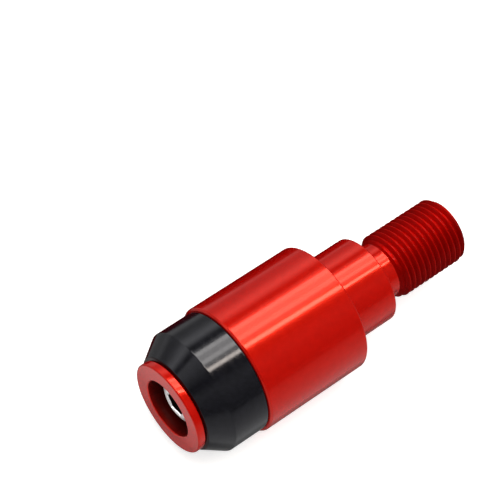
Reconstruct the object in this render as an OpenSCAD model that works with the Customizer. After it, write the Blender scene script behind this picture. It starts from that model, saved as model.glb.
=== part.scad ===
// Bar end weight for a tubular handlebar: a turned body with a threaded stud,
// and on its head end a collar that an end cap and one socket-head screw hold.
//
// Every piece turns about the X axis. The origin is the centre of the shoulder
// that bears on the bar, +X runs along the stud into the bar, and +Z is up.
// The stud is drawn plain, at the major diameter of its thread.

/* [Body] */
// Diameter of the barrel
barrel_d = 31; // [29:0.5:36]
// Length of the barrel
barrel_len = 27.3; // [22:0.1:34]
// Bevel on the barrel's edge beside the collar
barrel_bevel = 0.4; // [0.3:0.05:1]
// Diameter of the spigot between the barrel and the bar
spigot_d = 21; // [18:0.1:24]
// Length of the spigot
spigot_len = 12.8; // [8:0.1:18]
// Fine bevel on the other turned edges
edge_bevel = 0.25; // [0.1:0.05:0.4]

/* [Stud] */
// Major diameter of the thread
stud_d = 16; // [14:1:18]
// Diameter of the undercut neck before the thread
neck_d = 13.2; // [11:0.1:13.6]
// Length of the neck
neck_len = 4.3; // [3:0.1:6]
// Length of the stud from the neck to its end
stud_len = 19.35; // [14:0.05:26]
// Chamfer on the stud's end
stud_chamfer = 0.95; // [0.5:0.05:1.5]

/* [Collar] */
// Largest diameter of the collar
collar_d = 29.6; // [27:0.1:30]
// Length of the collar
collar_len = 14.1; // [12:0.1:16]
// Length of the collar's cone
cone_len = 4.75; // [4:0.05:7]
// Smallest diameter of the cone
nose_d = 23.1; // [22:0.1:24]
// Length of the shallow bevel from the end cap out to the cone
nose_bevel = 0.3; // [0.1:0.05:0.6]
// Diameter of the collar's bore
collar_bore_d = 18.1; // [17.6:0.1:19]

/* [End cap] */
// Diameter of the end cap's flange
cap_d = 22; // [20:0.1:24]
// Thickness of the flange
flange_t = 2; // [1.2:0.1:2.5]
// Diameter of the recess for the screw's head
recess_d = 13.9; // [12:0.1:14]
// Depth from the cap's face to the screw's head
head_sink = 2.2; // [1:0.1:3]
// Thickness of the recess's floor, under the screw's head
floor_t = 2.8; // [2:0.1:3.5]
// Diameter of the screw's clearance hole
cap_hole_d = 6.4; // [6.2:0.1:7]

/* [Screw] */
// Nominal diameter of the screw
screw_d = 6; // [5:0.5:6]
// Length under the head
screw_len = 20; // [16:1:25]
// Diameter of the head
head_d = 10; // [8.5:0.5:11]
// Height of the head
head_h = 6; // [5:0.5:6]
// Diameter of the flat on top of the head
head_flat_d = 7; // [6.5:0.1:8.5]
// Drop of the bevel round the head's flat
head_bevel_h = 0.6; // [0.3:0.1:1]
// Width across the flats of the hexagon socket
hex_af = 5; // [4:1:5]
// Depth of the hexagon socket
hex_depth = 3; // [2:0.5:4]
// Turn of the socket's corners about the axis
hex_turn = 26; // [0:1:59]
// Half angle of the drill points in the socket and the tapped hole
drill_half_angle = 60; // [59:1:70]

/* [Fits] */
// Radial gap of each boss in the collar's bore
boss_gap = 0.05; // [0.02:0.01:0.1]
// Radial gap of the screw in its tapped hole
thread_gap = 0.03; // [0.02:0.01:0.05]
// Gap between the cap's boss and the body's boss
clamp_gap = 0.6; // [0.2:0.1:1]
// Depth of the tapped hole past the screw's tip
tip_room = 2.5; // [1:0.5:4]

/* [Hidden] */
$fn = 96;

// Stations along X
x_barrel_back = -spigot_len;
x_barrel_front = x_barrel_back - barrel_len;
x_nose = x_barrel_front - collar_len;
x_cone = x_nose + nose_bevel;
x_face = x_nose - flange_t;
x_head_top = x_face + head_sink;
x_head_seat = x_head_top + head_h;
x_cap_end = x_head_seat + floor_t;
x_boss = x_cap_end + clamp_gap;
x_screw_tip = x_head_seat + screw_len;
x_stud_end = neck_len + stud_len;
x_thread_start = neck_len + (stud_d - neck_d) / 2;

// Radii
boss_r = collar_bore_d / 2 - boss_gap;
hole_r = screw_d / 2 + thread_gap;
hex_r = hex_af / 2 / cos(30);
socket_drill_r = hex_af / 2 - edge_bevel;

// How far a cutting solid runs past the face that it opens
overcut = 1;

// A solid turned about X from an outline of [radius, x] points
module turned(outline) {
    rotate([0, 90, 0])
        rotate_extrude()
            polygon(outline);
}

// A drilled hole's space from one station to the end of its full width
module drilled(r, x_from, x_to) {
    turned([
        [0, x_from],
        [r, x_from],
        [r, x_to],
        [0, x_to + r / tan(drill_half_angle)]
    ]);
}

module body() {
    color("red")
        difference() {
            turned([
                [0, x_boss],
                [boss_r - edge_bevel, x_boss],
                [boss_r, x_boss + edge_bevel],
                [boss_r, x_barrel_front],
                [barrel_d / 2 - barrel_bevel, x_barrel_front],
                [barrel_d / 2, x_barrel_front + barrel_bevel],
                [barrel_d / 2, x_barrel_back - edge_bevel],
                [barrel_d / 2 - edge_bevel, x_barrel_back],
                [spigot_d / 2, x_barrel_back],
                [spigot_d / 2, -edge_bevel],
                [spigot_d / 2 - edge_bevel, 0],
                [neck_d / 2, 0],
                [neck_d / 2, neck_len],
                [stud_d / 2, x_thread_start],
                [stud_d / 2, x_stud_end - stud_chamfer],
                [stud_d / 2 - stud_chamfer, x_stud_end],
                [0, x_stud_end]
            ]);
            // Tapped hole for the screw
            drilled(hole_r, x_boss - overcut, x_screw_tip + tip_room);
        }
}

module collar() {
    color("black")
        turned([
            [collar_bore_d / 2, x_nose],
            [cap_d / 2 - edge_bevel, x_nose],
            [nose_d / 2, x_cone],
            [collar_d / 2, x_cone + cone_len],
            [collar_d / 2, x_barrel_front - edge_bevel],
            [collar_d / 2 - edge_bevel, x_barrel_front],
            [collar_bore_d / 2, x_barrel_front]
        ]);
}

module end_cap() {
    color("red")
        turned([
            [recess_d / 2 + edge_bevel, x_face],
            [cap_d / 2 - edge_bevel, x_face],
            [cap_d / 2, x_face + edge_bevel],
            [cap_d / 2, x_nose - edge_bevel],
            [cap_d / 2 - edge_bevel, x_nose],
            [boss_r, x_nose],
            [boss_r, x_cap_end - edge_bevel],
            [boss_r - edge_bevel, x_cap_end],
            [cap_hole_d / 2, x_cap_end],
            [cap_hole_d / 2, x_head_seat],
            [recess_d / 2, x_head_seat],
            [recess_d / 2, x_face + edge_bevel]
        ]);
}

module cap_screw() {
    color("silver")
        difference() {
            turned([
                [0, x_head_top],
                [head_flat_d / 2, x_head_top],
                [head_d / 2, x_head_top + head_bevel_h],
                [head_d / 2, x_head_seat],
                [screw_d / 2, x_head_seat],
                [screw_d / 2, x_screw_tip - edge_bevel],
                [screw_d / 2 - edge_bevel, x_screw_tip],
                [0, x_screw_tip]
            ]);
            // Hexagon socket, and the drilled hole that it is broached from
            translate([x_head_top - overcut, 0, 0])
                rotate([0, 90, 0])
                    rotate([0, 0, hex_turn])
                        cylinder(r = hex_r, h = overcut + hex_depth, $fn = 6);
            drilled(socket_drill_r, x_head_top - overcut, x_head_top + hex_depth);
        }
}

body();
collar();
end_cap();
cap_screw();
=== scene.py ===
import math

import bmesh
import bpy
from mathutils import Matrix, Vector

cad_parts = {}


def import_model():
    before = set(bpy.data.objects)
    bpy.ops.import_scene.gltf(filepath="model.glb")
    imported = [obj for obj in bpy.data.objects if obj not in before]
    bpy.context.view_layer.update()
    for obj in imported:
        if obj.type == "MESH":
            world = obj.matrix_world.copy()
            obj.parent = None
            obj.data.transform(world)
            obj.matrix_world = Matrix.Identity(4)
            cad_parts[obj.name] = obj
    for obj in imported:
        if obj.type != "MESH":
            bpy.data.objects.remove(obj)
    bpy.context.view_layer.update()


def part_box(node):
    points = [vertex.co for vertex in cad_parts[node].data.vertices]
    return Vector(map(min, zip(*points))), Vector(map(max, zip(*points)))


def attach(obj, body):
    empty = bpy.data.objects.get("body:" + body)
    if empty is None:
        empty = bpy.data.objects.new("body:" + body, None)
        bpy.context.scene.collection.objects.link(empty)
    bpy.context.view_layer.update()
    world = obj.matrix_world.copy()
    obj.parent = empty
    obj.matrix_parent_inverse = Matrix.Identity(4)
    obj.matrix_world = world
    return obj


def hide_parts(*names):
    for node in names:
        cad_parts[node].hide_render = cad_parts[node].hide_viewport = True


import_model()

MM = 0.001

# Stations along X and outer radii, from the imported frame
X_BOSS, X_STUD_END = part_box("body")[0].x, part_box("body")[1].x
X_NOSE, X_BARREL_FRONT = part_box("collar")[0].x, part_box("collar")[1].x
X_FACE, X_CAP_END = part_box("end_cap")[0].x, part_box("end_cap")[1].x
X_HEAD_TOP, X_SCREW_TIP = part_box("cap_screw")[0].x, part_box("cap_screw")[1].x
BARREL_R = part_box("body")[1].z
COLLAR_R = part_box("collar")[1].z
CAP_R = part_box("end_cap")[1].z
HEAD_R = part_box("cap_screw")[1].z

# The part's other driving sizes
BARREL_BEVEL = 0.4 * MM
EDGE_BEVEL = 0.25 * MM
SPIGOT_R = 10.5 * MM
SPIGOT_LEN = 12.8 * MM
NECK_R = 6.6 * MM
NECK_LEN = 4.3 * MM
BORE_R = 9.05 * MM
BOSS_R = 9.0 * MM
NOSE_R = 11.55 * MM
NOSE_BEVEL = 0.3 * MM
CONE_LEN = 4.75 * MM
RECESS_R = 6.95 * MM
CAP_HOLE_R = 3.2 * MM
TAPPED_R = 3.03 * MM
TIP_ROOM = 2.5 * MM
SCREW_R = 3.0 * MM
HEAD_H = 6.0 * MM
HEAD_FLAT_R = 3.5 * MM
HEAD_BEVEL_H = 0.6 * MM
HEX_AF = 5.0 * MM
HEX_DEPTH = 3.0 * MM
HEX_CORNER = math.radians(56)   # a corner's angle from +Y towards +Z
HEX_LIP = 0.25 * MM             # bevel round the hexagon's mouth
DRILL_HALF_ANGLE = math.radians(60)

# The stud's thread, M16 x 1.5
STUD_R = 8.0 * MM
STUD_CHAMFER = 0.95 * MM
PITCH = 1.5 * MM
PHASE = -0.35                   # turn of the helix, as a share of the pitch
ROOT_R = 7.08 * MM
# One turn's outline: share of the pitch from the crest's middle, and radius
THREAD = [
    (-0.035, STUD_R), (0.035, STUD_R), (0.0825, 7.95 * MM), (0.39, 7.16 * MM), (0.44, 7.1 * MM),
    (0.5, ROOT_R), (0.56, 7.1 * MM), (0.61, 7.16 * MM), (0.9175, 7.95 * MM)]

# Meshes
SEGMENTS = 240                  # steps round the axis
SHARP = math.radians(28)        # an edge that turns by more stays sharp
EASE = 0.12 * MM                # how far the easing of a corner reaches along its sides
TIP_EASE = 0.02 * MM            # the same at the stud's end, beside the thread
EASE_MOST = 0.4                 # and the most of a side that it takes
EASE_STEPS = 4
FLAT_RING = 0.3 * MM            # ring of faces at the edge of the screw's flat top
ON_AXIS = 1e-9                  # a smaller radius is none


def eased(corners, size=EASE):
    """Points along an outline of (x, radius) corners, with each inner corner eased."""
    points = [Vector(corners[0])]
    for before, here, after in zip(corners, corners[1:], corners[2:]):
        here = Vector(here)
        back, ahead = Vector(before) - here, Vector(after) - here
        cut = min(size, EASE_MOST * back.length, EASE_MOST * ahead.length)
        a, b = here + back.normalized() * cut, here + ahead.normalized() * cut
        for k in range(EASE_STEPS + 1):
            t = k / EASE_STEPS
            points.append(a.lerp(here, t).lerp(here.lerp(b, t), t))
    points.append(Vector(corners[-1]))
    return points


def eased_loop(corners):
    """The same for a closed outline, with all its corners eased."""
    return eased([corners[-1]] + corners + [corners[0]])[1:-1]


def step_angle(k):
    return 2 * math.pi * k / SEGMENTS


def add_point(mesh, x, r, angle):
    return mesh.verts.new((x, r * math.cos(angle), r * math.sin(angle)))


def add_ring(mesh, x, r):
    """A ring of vertices round the axis, or on it one vertex that stands for the whole ring."""
    if r < ON_AXIS:
        return [mesh.verts.new((x, 0, 0))] * SEGMENTS
    return [add_point(mesh, x, r, step_angle(k)) for k in range(SEGMENTS)]


def add_face(mesh, corners):
    """A face with these corners, unless they come down to a line."""
    corners = list(dict.fromkeys(corners))
    if len(corners) > 2:
        mesh.faces.new(corners)


def join_rings(mesh, near, far):
    for k in range(SEGMENTS):
        n = (k + 1) % SEGMENTS
        add_face(mesh, [near[k], near[n], far[n], far[k]])


def add_turned(mesh, points, closed=False):
    """Turns an outline of (x, radius) points about X and returns its rings."""
    rings = [add_ring(mesh, x, r) for x, r in points]
    following = rings[1:] + rings[:1] if closed else rings[1:]
    for near, far in zip(rings, following):
        join_rings(mesh, near, far)
    return rings


def make_piece(name, mesh, node, material):
    """Makes the mesh a piece of the part, which stands for the CAD node."""
    bmesh.ops.recalc_face_normals(mesh, faces=mesh.faces)
    data = bpy.data.meshes.new(name)
    mesh.to_mesh(data)
    mesh.free()
    data.shade_smooth()
    data.set_sharp_from_angle(angle=SHARP)
    data.materials.append(material)
    piece = bpy.data.objects.new(name, data)
    bpy.context.scene.collection.objects.link(piece)
    normals = piece.modifiers.new("normals", "WEIGHTED_NORMAL")
    normals.keep_sharp = True
    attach(piece, "root")
    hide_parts(node)
    return piece


# Node trees
MIX_A, MIX_B, MIX_RESULT = 6, 7, 2  # the colour sockets of a mix node
NOISE_SPAN = (0.3, 0.7)             # nearly all values of a noise lie between these
# Noises that all finishes have: (scale a metre, detail)
WANDER = (900, 3)
MARKS = (6000, 2)
MARKS_HEIGHT = 0.004 * MM
WHITE = (1, 1, 1, 1)


class Nodes:
    """Short calls for a node tree. A value is a number, a colour or another node's output."""

    def __init__(self, tree):
        self.tree = tree

    def add(self, kind, **settings):
        node = self.tree.nodes.new(kind)
        for key, value in settings.items():
            setattr(node, key, value)
        return node

    def plug(self, value, socket):
        if isinstance(value, bpy.types.NodeSocket):
            self.tree.links.new(value, socket)
        else:
            socket.default_value = value

    def give(self, name, value):
        """Sets an input of the material's main shader."""
        self.plug(value, self.tree.nodes["Principled BSDF"].inputs[name])

    def show(self, look):
        """Makes a shader the material's surface."""
        self.plug(look, self.tree.nodes["Material Output"].inputs["Surface"])

    def split(self, vector):
        node = self.add("ShaderNodeSeparateXYZ")
        self.plug(vector, node.inputs[0])
        return node.outputs

    def join(self, **axes):
        """A vector with the values given for X, Y or Z, and 0 for the rest."""
        node = self.add("ShaderNodeCombineXYZ")
        for axis, value in axes.items():
            self.plug(value, node.inputs[axis])
        return node.outputs[0]

    def math(self, operation, a, b=None):
        node = self.add("ShaderNodeMath", operation=operation)
        for value, socket in zip((a, b), node.inputs):
            if value is not None:
                self.plug(value, socket)
        return node.outputs[0]

    def between(self, share, low, high):
        """The value low where share is 0, and high where it is 1."""
        return self.math("ADD", self.math("MULTIPLY", share, high - low), low)

    def within(self, value, low, high):
        """1 where the value lies between low and high, else 0."""
        return self.math("MULTIPLY", self.math("GREATER_THAN", value, low),
                         self.math("LESS_THAN", value, high))

    def ramp(self, value, stops):
        """A colour from (place, colour) stops."""
        node = self.add("ShaderNodeValToRGB")
        elements = node.color_ramp.elements
        while len(elements) < len(stops):
            elements.new(1)
        for element, (place, colour) in zip(elements, stops):
            element.position = place
            element.color = (*colour, 1)
        self.plug(value, node.inputs[0])
        return node.outputs[0]

    def blend(self, share, a, b):
        """The colour a where share is 0, and the plain colour b where it is 1."""
        node = self.add("ShaderNodeMix", data_type="RGBA")
        self.plug(share, node.inputs[0])
        self.plug(a, node.inputs[MIX_A])
        self.plug((*b, 1), node.inputs[MIX_B])
        return node.outputs[MIX_RESULT]

    def noise(self, vector, pattern, span=(0, 1)):
        """Noise that wanders over the span, from its (scale a metre, detail) pattern."""
        scale, detail = pattern
        node = self.add("ShaderNodeTexNoise")
        self.plug(vector, node.inputs["Vector"])
        self.plug(scale, node.inputs["Scale"])
        self.plug(detail, node.inputs["Detail"])
        spread = self.add("ShaderNodeMapRange")
        self.plug(node.outputs[0], spread.inputs["Value"])
        for name, value in zip(("From Min", "From Max", "To Min", "To Max"), NOISE_SPAN + span):
            self.plug(value, spread.inputs[name])
        return spread.outputs[0]


def new_material(name):
    material = bpy.data.materials.new(name)
    material.use_nodes = True
    return material, Nodes(material.node_tree)


def object_place(nodes):
    """A point's place in the part's frame, in metres."""
    return nodes.add("ShaderNodeTexCoord").outputs["Object"]


def turned_place(nodes):
    """A point's x and its distance from the axis. Lathe marks are constant round the axis."""
    x, y, z = nodes.split(object_place(nodes))
    squares = nodes.math("ADD", nodes.math("MULTIPLY", y, y), nodes.math("MULTIPLY", z, z))
    return x, nodes.math("SQRT", squares)


def finish_turned(nodes, roughness, marks, more=0.0):
    """Lathe marks as a fine bump, and roughness that wanders over its span, plus more."""
    along, out = turned_place(nodes)
    lathe = nodes.join(X=along, Y=out)
    nodes.give("Roughness", nodes.math("ADD", nodes.noise(lathe, WANDER, roughness), more))
    bump = nodes.add("ShaderNodeBump")
    nodes.plug(marks, bump.inputs["Strength"])
    nodes.plug(MARKS_HEIGHT, bump.inputs["Distance"])
    nodes.plug(nodes.noise(lathe, MARKS), bump.inputs["Height"])
    nodes.give("Normal", bump.outputs[0])


# The red finish
RED_DARKEST, RED_LIGHTEST = (0.52, 0.002, 0.0004), (0.69, 0.0035, 0.0009)
RED_SPOTS, RED_RINGS = (700, 3), (3500, 2)
SPOTS_SHARE, RINGS_SHARE = 0.4, 0.6 # of the mottle between these two reds
# Painted shade: a darker red for the thread, and a darker one still for its flanks
THREAD_SHADE_RED = (0.43, 0.0015, 0.0008)
FLANK_SHADE_RED = (0.34, 0.001, 0.0005)
# Painted shade, deepest down the cap's recess
RECESS_SHADE_RED = (0.02, 0.0005, 0.001)
RED_TINT = (1, 0.23, 0.09, 1)       # of its reflections, apart from the clear coat's
RED_METAL = (0.3, 0.75)             # elsewhere, and on the thread's flanks
RED_REFLECTION = (1, 0.2)           # where it shines, and where it is dull
RED_COAT = (0.3, 0.05)              # the same
RED_COAT_ROUGHNESS = 0.09
RED_COAT_IOR = 1.5
RED_ROUGHNESS = (0.155, 0.2)
RED_DULLED = 0.375                  # more roughness where it is dull
RED_MARKS = 0.2
# The thread's shaded red stops this far short of the stud's end, and from this radius out its crests
# are spared the flanks' deeper painted shade
END_SKIN = 0.02 * MM
CREST_R = 7.97 * MM
# Painted shade darkens the recess with depth, from a point before its mouth, and no further than the
# most
RECESS_ROOM = 0.05 * MM
FADE_START = 4.6 * MM
FADE_LENGTH = 6.5 * MM
FADE_MOST = 0.94


def red_anodised():
    """Bright on the turned faces; dull on the thread and down the cap's recess, and darker there with
    painted shade.
    """
    material, nodes = new_material("red_anodised")
    along, out = turned_place(nodes)
    spots = nodes.noise(object_place(nodes), RED_SPOTS)
    rings = nodes.noise(nodes.join(Y=out), RED_RINGS)
    tone = nodes.math("ADD", nodes.math("MULTIPLY", spots, SPOTS_SHARE),
                      nodes.math("MULTIPLY", rings, RINGS_SHARE))
    thread = nodes.within(along, NECK_LEN, X_STUD_END - END_SKIN)
    flank = nodes.math("MULTIPLY", thread, nodes.math("LESS_THAN", out, CREST_R))
    recess = nodes.math("MULTIPLY", nodes.within(along, X_FACE, X_CAP_END),
                        nodes.math("LESS_THAN", out, RECESS_R + RECESS_ROOM))
    dull = nodes.math("MAXIMUM", thread, recess)
    depth = nodes.math("DIVIDE", nodes.math("SUBTRACT", along, X_FACE - FADE_START), FADE_LENGTH)
    shade = nodes.math("MULTIPLY", recess, nodes.math("MINIMUM", depth, FADE_MOST))
    colour = nodes.ramp(tone, [(0, RED_DARKEST), (1, RED_LIGHTEST)])
    # Painted shade: darker red on the thread, darker still on its flanks, and deepening down the recess
    for share, deeper in ((thread, THREAD_SHADE_RED), (flank, FLANK_SHADE_RED), (shade, RECESS_SHADE_RED)):
        colour = nodes.blend(share, colour, deeper)
    nodes.give("Base Color", colour)
    nodes.give("Metallic", nodes.between(flank, *RED_METAL))
    nodes.give("Specular IOR Level", nodes.between(dull, *RED_REFLECTION))
    nodes.give("Specular Tint", RED_TINT)
    nodes.give("Coat Weight", nodes.between(dull, *RED_COAT))
    nodes.give("Coat Roughness", RED_COAT_ROUGHNESS)
    nodes.give("Coat IOR", RED_COAT_IOR)
    finish_turned(nodes, RED_ROUGHNESS, RED_MARKS, nodes.math("MULTIPLY", dull, RED_DULLED))
    return material


# The black finish
BLACK_DARKEST, BLACK_LIGHTEST = (0.003, 0.003, 0.0045), (0.006, 0.006, 0.009)
BLACK_SPOTS = (900, 3)
NOTCH_PAINTED_RED = (0.015, 0.0005, 0.0005)   # painted reflection of the red cap, on the shallow bevel beside it
BLACK_REFLECTION = (0.5, 0.1)           # elsewhere, and on that bevel
BLACK_TINT = (0.94, 0.94, 1, 1)
BLACK_IOR = 1.52
BLACK_ROUGHNESS = (0.1, 0.15)
BLACK_MARKS = 0.6


def black_anodised():
    """Glossy black with lathe marks, and dull on the bevel beside the cap, where the cap's red
    reflection is painted.
    """
    material, nodes = new_material("black_anodised")
    along, _ = turned_place(nodes)
    tone = nodes.noise(object_place(nodes), BLACK_SPOTS)
    notch = nodes.within(along, X_NOSE - EDGE_BEVEL, X_NOSE + NOSE_BEVEL)
    colour = nodes.ramp(tone, [(0, BLACK_DARKEST), (1, BLACK_LIGHTEST)])
    nodes.give("Base Color", nodes.blend(notch, colour, NOTCH_PAINTED_RED))
    nodes.give("Specular IOR Level", nodes.between(notch, *BLACK_REFLECTION))
    nodes.give("Specular Tint", BLACK_TINT)
    nodes.give("IOR", BLACK_IOR)
    finish_turned(nodes, BLACK_ROUGHNESS, BLACK_MARKS)
    return material


# The screw's steel
STEEL_DARKEST, STEEL_LIGHTEST = (0.82, 0.81, 0.8), (0.92, 0.91, 0.9)
STEEL_SPOTS = (1500, 3)
# Painted shade down the hexagon socket
SOCKET_SHADE_COLOUR = (0.05, 0.03, 0.03)
SOCKET_START = 0.27 * MM                # where the socket's painted shade starts, down from the head's top, just below the lip
STEEL_ROUGHNESS = (0.4, 0.5)
STEEL_MARKS = 0.5


def screw_steel():
    """Plain steel, with painted shade down the hexagon socket."""
    material, nodes = new_material("screw_steel")
    along, out = turned_place(nodes)
    tone = nodes.noise(object_place(nodes), STEEL_SPOTS)
    socket = nodes.math("MULTIPLY", nodes.within(along, X_HEAD_TOP + SOCKET_START, X_HEAD_TOP + HEAD_H),
                        nodes.math("LESS_THAN", out, SCREW_R))
    colour = nodes.ramp(tone, [(0, STEEL_DARKEST), (1, STEEL_LIGHTEST)])
    nodes.give("Base Color", nodes.blend(socket, colour, SOCKET_SHADE_COLOUR))
    nodes.give("Metallic", 1)
    finish_turned(nodes, STEEL_ROUGHNESS, STEEL_MARKS)
    return material


# The four pieces

def body(material):
    """The turned body, with its tapped hole and its threaded stud."""
    mesh = bmesh.new()
    hole_end = X_SCREW_TIP + TIP_ROOM
    barrel_back = -SPIGOT_LEN
    thread_start = NECK_LEN + ROOT_R - NECK_R
    thread_end = X_STUD_END - (ROOT_R - (STUD_R - STUD_CHAMFER))
    head = eased([
        (hole_end + TAPPED_R / math.tan(DRILL_HALF_ANGLE), 0), (hole_end, TAPPED_R), (X_BOSS, TAPPED_R),
        (X_BOSS, BOSS_R - EDGE_BEVEL), (X_BOSS + EDGE_BEVEL, BOSS_R), (X_BARREL_FRONT, BOSS_R),
        (X_BARREL_FRONT, BARREL_R - BARREL_BEVEL), (X_BARREL_FRONT + BARREL_BEVEL, BARREL_R),
        (barrel_back - EDGE_BEVEL, BARREL_R), (barrel_back, BARREL_R - EDGE_BEVEL),
        (barrel_back, SPIGOT_R), (-EDGE_BEVEL, SPIGOT_R), (0, SPIGOT_R - EDGE_BEVEL),
        (0, NECK_R), (NECK_LEN, NECK_R), (thread_start, ROOT_R)])
    tip = eased([(thread_end, ROOT_R), (X_STUD_END, STUD_R - STUD_CHAMFER), (X_STUD_END, 0)], TIP_EASE)
    near = add_turned(mesh, head)[-1]
    far = add_turned(mesh, tip)[0]
    add_thread(mesh, near, far, thread_start, thread_end)
    return make_piece("turned_body", mesh, "body", material)


def add_thread(mesh, near, far, x_near, x_far):
    """A right-hand helix between two rings at the root, cut off by the lead-in and the chamfer."""
    turns = math.ceil((x_far - x_near) / PITCH) + 1
    stations = [(n + PHASE + share, r) for n in range(-1, turns + 1) for share, r in THREAD]
    columns = []
    for k in range(SEGMENTS):
        column = []
        for share, r in stations:
            x = x_near + PITCH * (share + k / SEGMENTS)
            if x <= x_near:
                column.append(near[k])
            elif x >= x_far:
                column.append(far[k])
            else:
                r = min(r, NECK_R + x - NECK_LEN, STUD_R - STUD_CHAMFER + X_STUD_END - x)
                column.append(add_point(mesh, x, r, step_angle(k)))
        columns.append(column)
    # Past the last column the helix has climbed by one turn
    columns.append(columns[0][len(THREAD):] + [far[0]] * len(THREAD))
    for this, following in zip(columns, columns[1:]):
        for i in range(len(stations) - 1):
            add_face(mesh, [this[i], following[i], following[i + 1], this[i + 1]])


def collar(material):
    """The black collar, with its conical nose."""
    mesh = bmesh.new()
    cone = X_NOSE + NOSE_BEVEL
    add_turned(mesh, eased_loop([
        (X_NOSE, BORE_R), (X_NOSE, CAP_R - EDGE_BEVEL), (cone, NOSE_R), (cone + CONE_LEN, COLLAR_R),
        (X_BARREL_FRONT - EDGE_BEVEL, COLLAR_R), (X_BARREL_FRONT, COLLAR_R - EDGE_BEVEL),
        (X_BARREL_FRONT, BORE_R)]), closed=True)
    return make_piece("black_collar", mesh, "collar", material)


def end_cap(material):
    """The flanged cap, with the recess and the boss behind it."""
    mesh = bmesh.new()
    seat = X_HEAD_TOP + HEAD_H
    add_turned(mesh, eased_loop([
        (X_FACE, RECESS_R + EDGE_BEVEL), (X_FACE, CAP_R - EDGE_BEVEL), (X_FACE + EDGE_BEVEL, CAP_R),
        (X_NOSE - EDGE_BEVEL, CAP_R), (X_NOSE, CAP_R - EDGE_BEVEL), (X_NOSE, BOSS_R),
        (X_CAP_END - EDGE_BEVEL, BOSS_R), (X_CAP_END, BOSS_R - EDGE_BEVEL), (X_CAP_END, CAP_HOLE_R),
        (seat, CAP_HOLE_R), (seat, RECESS_R), (X_FACE + EDGE_BEVEL, RECESS_R)]), closed=True)
    return make_piece("flanged_end_cap", mesh, "end_cap", material)


def hexagon_radius(angle, across_flats):
    """Distance from the axis to the hexagon's side, in the direction of the angle."""
    sixth = math.pi / 3
    return across_flats / 2 / math.cos((angle - HEX_CORNER) % sixth - sixth / 2)


def add_hexagon(mesh, x, across_flats):
    angles = [step_angle(k) for k in range(SEGMENTS)]
    return [add_point(mesh, x, hexagon_radius(angle, across_flats), angle) for angle in angles]


def cap_screw(material):
    """The socket-head screw, with its hexagon and the drilled cone at the hexagon's end."""
    mesh = bmesh.new()
    seat = X_HEAD_TOP + HEAD_H
    hex_end = X_HEAD_TOP + HEX_DEPTH
    drill_r = HEX_AF / 2 - EDGE_BEVEL
    outside = add_turned(mesh, eased([
        (X_HEAD_TOP, HEAD_FLAT_R - FLAT_RING), (X_HEAD_TOP, HEAD_FLAT_R),
        (X_HEAD_TOP + HEAD_BEVEL_H, HEAD_R), (seat, HEAD_R), (seat, SCREW_R),
        (X_SCREW_TIP - EDGE_BEVEL, SCREW_R), (X_SCREW_TIP, SCREW_R - EDGE_BEVEL), (X_SCREW_TIP, 0)]))
    hexagons = ((X_HEAD_TOP, HEX_AF + 2 * HEX_LIP), (X_HEAD_TOP + HEX_LIP, HEX_AF), (hex_end, HEX_AF))
    socket = [add_hexagon(mesh, x, across_flats) for x, across_flats in hexagons]
    cone = add_turned(mesh, [(hex_end, drill_r), (hex_end + drill_r / math.tan(DRILL_HALF_ANGLE), 0)])
    for near, far in zip([outside[0]] + socket, socket + [cone[0]]):
        join_rings(mesh, near, far)
    return make_piece("socket_head_screw", mesh, "cap_screw", material)


# The camera
VIEW_AZIMUTH = math.radians(-38.96)
VIEW_ELEVATION = math.radians(51.09)
VIEW_DISTANCE = 0.446
VIEW_AIM = Vector((-0.02014, 0.01642, 0.0103))
VIEW_LENS = 145.5
VIEW_NEAREST, VIEW_FARTHEST = 0.02, 20


def camera():
    data = bpy.data.cameras.new("camera")
    data.lens = VIEW_LENS
    data.clip_start = VIEW_NEAREST
    data.clip_end = VIEW_FARTHEST
    view = bpy.data.objects.new("camera", data)
    back = Vector((math.sin(VIEW_AZIMUTH) * math.cos(VIEW_ELEVATION),
                   -math.cos(VIEW_AZIMUTH) * math.cos(VIEW_ELEVATION),
                   math.sin(VIEW_ELEVATION)))
    view.location = VIEW_AIM + back * VIEW_DISTANCE
    view.rotation_euler = (-back).to_track_quat("-Z", "Y").to_euler()
    bpy.context.scene.collection.objects.link(view)
    bpy.context.scene.camera = view


# The lamps are strips along X, each with its angle round X from +Y, its width in degrees and its level.
# Reflections see a ribbed softbox above the part,
RIBS = [(72, 8, 5.4), (80.5, 8, 3.5), (89, 8, 5.6), (96.5, 6, 1.8)]
RIB_DISTANCE = 0.3
RIB_LENGTH = 0.4
RIB_X = 0.073
RIB_SKEW = math.radians(-12)
NEUTRAL = (1.0, 0.97, 0.9)
# and a narrow warm tube past it, askew to the part.
TUBE = (104.5, 6, 12)
TUBE_DISTANCE = 0.2
TUBE_LENGTH = 0.3
TUBE_X = 0.033
TUBE_SKEW = math.radians(-16)
WARM = (1.0, 0.9, 0.78)
# The key light is for everything but reflections.
KEY = (103, 50, 3.8)
KEY_DISTANCE = 0.9
KEY_LENGTH = 0.9
# A small square lamp before the nose makes the screw's rim bright.
FRONT_DIRECTION = (-1, 0.1, 0.1)
FRONT_DISTANCE = 0.2
FRONT_SIZE = 0.12
FRONT_LEVEL = 9


def add_lamp(name, data, location, rotation):
    """A lamp that the camera doesn't see."""
    lamp = bpy.data.objects.new(name, data)
    lamp.location = location
    lamp.rotation_euler = rotation
    lamp.visible_camera = False
    bpy.context.scene.collection.objects.link(lamp)
    return lamp


def strip_light(angle, width, level, colour, distance, length, x, skew=0.0):
    """An area light of this width along X, or askew to it, that faces the axis."""
    angle = math.radians(angle)
    data = bpy.data.lights.new("strip", "AREA")
    data.shape = "RECTANGLE"
    data.size = length
    data.size_y = 2 * distance * math.tan(math.radians(width) / 2)
    data.energy = level * math.pi * data.size * data.size_y
    data.color = colour
    location = (x, distance * math.cos(angle), distance * math.sin(angle))
    return add_lamp("strip", data, location, (angle - math.pi / 2, 0, skew))


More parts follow.
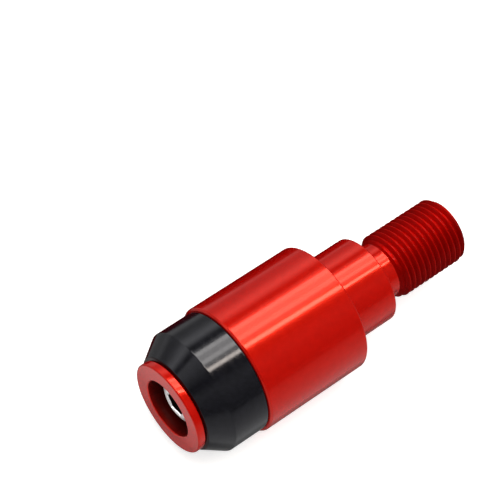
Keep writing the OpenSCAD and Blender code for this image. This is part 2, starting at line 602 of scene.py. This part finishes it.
def front_lamp(piece):
    """A lamp before the part's nose, which lights this piece alone."""
    data = bpy.data.lights.new("front", "AREA")
    data.size = FRONT_SIZE
    data.energy = FRONT_LEVEL * math.pi * FRONT_SIZE ** 2
    back = Vector(FRONT_DIRECTION).normalized()
    location = Vector((X_FACE, 0, 0)) + back * FRONT_DISTANCE
    lamp = add_lamp("front", data, location, back.to_track_quat("Z", "Y").to_euler())
    lit = bpy.data.collections.new("front_lamp_lights")
    lit.objects.link(piece)
    lamp.light_linking.receiver_collection = lit
    return lamp


def lamps(screw):
    """The lamps for reflections alone, and the key light for the rest."""
    strips = [strip_light(*rib, NEUTRAL, RIB_DISTANCE, RIB_LENGTH, RIB_X, RIB_SKEW) for rib in RIBS]
    strips.append(strip_light(*TUBE, WARM, TUBE_DISTANCE, TUBE_LENGTH, TUBE_X, TUBE_SKEW))
    strips.append(front_lamp(screw))
    for strip in strips:
        strip.visible_diffuse = False
    key = strip_light(*KEY, NEUTRAL, KEY_DISTANCE, KEY_LENGTH, x=0)
    key.visible_glossy = False


# What reflections see of the studio round X: degrees from the +Y horizon over the top, and level
STUDIO = [
    (0, 0.45), (8, 0.27), (16, 0.3), (25, 0.48), (33, 0.9), (40, 1.25), (45, 0.9), (52, 0.15),
    (59, 0.1), (62, 0.7), (67, 0.7), (112, 0.05), (122, 0.08), (130, 0.2), (140, 0.27), (155, 0.18),
    (178, 0.09)]
# and of the floor: metres in front of the part, towards -Y, and level
FLOOR_MIRRORED = [
    (-0.25, 0.45), (-0.034, 0.2), (-0.028, 0.5), (-0.011, 0.4), (0.012, 0.18), (0.015, 0.2),
    (0.018, 0.55), (0.024, 0.55), (0.05, 0.43), (0.1, 0.32), (0.22, 0.2), (0.25, 0.1)]
FLOOR_REACH = FLOOR_MIRRORED[-1][0]
MIRRORED_MOST = max(level for _, level in STUDIO + FLOOR_MIRRORED)
FILL = 0.35                         # the world's level for what isn't a reflection
FLOOR_COLOUR = (0.8, 0.8, 0.8, 1)
FLOOR_SEEN = 0.66                   # what the camera sees of the floor besides its own shading
FLOOR_HALF = 4
# Cards on the floor. The cap's face sees strips that grow brighter away from it, each with its lowest
# and highest x and its level, and all from one y to the other. The barrel sees a dim red card.
CARD_LIFT = 0.1 * MM
BOUNCE_STRIPS = [
    (-0.0605, -0.0575, 0.32), (-0.0635, -0.0605, 0.5), (-0.0665, -0.0635, 0.7), (-0.091, -0.0665, 0.88)]
BOUNCE_Y = (-0.012, 0.038)
RED_CARD = [(-0.06, 0.022), (0.4, 0.022), (0.4, 0.5), (0.19, 0.5), (0.015, 0.15)]
RED_CARD_COLOUR = (0.07, 0, 0.002)


def glow(nodes, colour, strength=1.0, kind="ShaderNodeBackground"):
    node = nodes.add(kind)
    nodes.plug(colour, node.inputs["Color"])
    nodes.plug(strength, node.inputs["Strength"])
    return node.outputs[0]


def either(nodes, share, a, b):
    """Mixes two shaders: a where share is 0, b where it is 1."""
    node = nodes.add("ShaderNodeMixShader")
    for value, socket in zip((share, a, b), node.inputs):
        nodes.plug(value, socket)
    return node.outputs[0]


def mirrored(nodes, path):
    """1 for what a reflection sees, else 0."""
    return nodes.math("MAXIMUM", path.outputs["Is Glossy Ray"], path.outputs["Is Transmission Ray"])


def grey_stops(levels):
    """Stops for a ramp, from (place, level) pairs."""
    return [(place, (level / MIRRORED_MOST,) * 3) for place, level in levels]


def world():
    """White to the camera, a plain fill for the light it sends out, and the studio in reflections."""
    sky = bpy.data.worlds.new("studio")
    bpy.context.scene.world = sky
    sky.use_nodes = True
    sky.node_tree.nodes.clear()
    nodes = Nodes(sky.node_tree)
    path = nodes.add("ShaderNodeLightPath")
    _, y, z = nodes.split(nodes.add("ShaderNodeTexCoord").outputs["Generated"])
    share = nodes.math("DIVIDE", nodes.math("ARCTAN2", z, y), math.pi)
    stops = grey_stops((math.radians(degrees) / math.pi, level) for degrees, level in STUDIO)
    reflected = glow(nodes, nodes.ramp(share, stops), MIRRORED_MOST)
    lit = either(nodes, mirrored(nodes, path), glow(nodes, WHITE, FILL), reflected)
    seen = either(nodes, path.outputs["Is Camera Ray"], lit, glow(nodes, WHITE))
    nodes.plug(seen, nodes.add("ShaderNodeOutputWorld").inputs["Surface"])


def floor():
    """White with the part's shadow to the camera, and its own levels in reflections."""
    material, nodes = new_material("floor")
    path = nodes.add("ShaderNodeLightPath")
    nodes.give("Base Color", FLOOR_COLOUR)
    nodes.give("Roughness", 1)
    nodes.give("Specular IOR Level", 0)
    nodes.give("Emission Color", WHITE)
    nodes.give("Emission Strength", nodes.math("MULTIPLY", path.outputs["Is Camera Ray"], FLOOR_SEEN))
    _, y, _ = nodes.split(object_place(nodes))
    width = 2 * FLOOR_REACH
    share = nodes.math("DIVIDE", nodes.math("SUBTRACT", FLOOR_REACH, y), width)
    stops = grey_stops(((FLOOR_REACH + front) / width, level) for front, level in FLOOR_MIRRORED)
    reflected = glow(nodes, nodes.ramp(share, stops), MIRRORED_MOST, "ShaderNodeEmission")
    plain = nodes.tree.nodes["Principled BSDF"].outputs[0]
    nodes.show(either(nodes, mirrored(nodes, path), plain, reflected))
    sheet("floor", material, rectangle(-FLOOR_HALF, FLOOR_HALF, -FLOOR_HALF, FLOOR_HALF), -BARREL_R)


def rectangle(x_low, x_high, y_low, y_high):
    return [(x_low, y_low), (x_high, y_low), (x_high, y_high), (x_low, y_high)]


def sheet(name, material, corners, z):
    """A level sheet of the stage, from its (x, y) corners."""
    data = bpy.data.meshes.new(name)
    data.from_pydata([(x, y, z) for x, y in corners], [], [range(len(corners))])
    data.materials.append(material)
    stage = bpy.data.objects.new(name, data)
    bpy.context.scene.collection.objects.link(stage)
    return stage


def card(name, colour, corners):
    """A card on the floor that only reflections see."""
    material, nodes = new_material(name)
    nodes.show(glow(nodes, (*colour, 1), kind="ShaderNodeEmission"))
    stage = sheet(name, material, corners, -BARREL_R + CARD_LIFT)
    stage.visible_camera = False
    stage.visible_diffuse = False
    stage.visible_shadow = False


def cards():
    for x_low, x_high, level in BOUNCE_STRIPS:
        card("bounce_card", (level,) * 3, rectangle(x_low, x_high, *BOUNCE_Y))
    card("red_card", RED_CARD_COLOUR, RED_CARD)


red = red_anodised()
body(red)
collar(black_anodised())
end_cap(red)
screw = cap_screw(screw_steel())

camera()
world()
floor()
cards()
lamps(screw)
bpy.context.scene.view_settings.view_transform = "Standard"
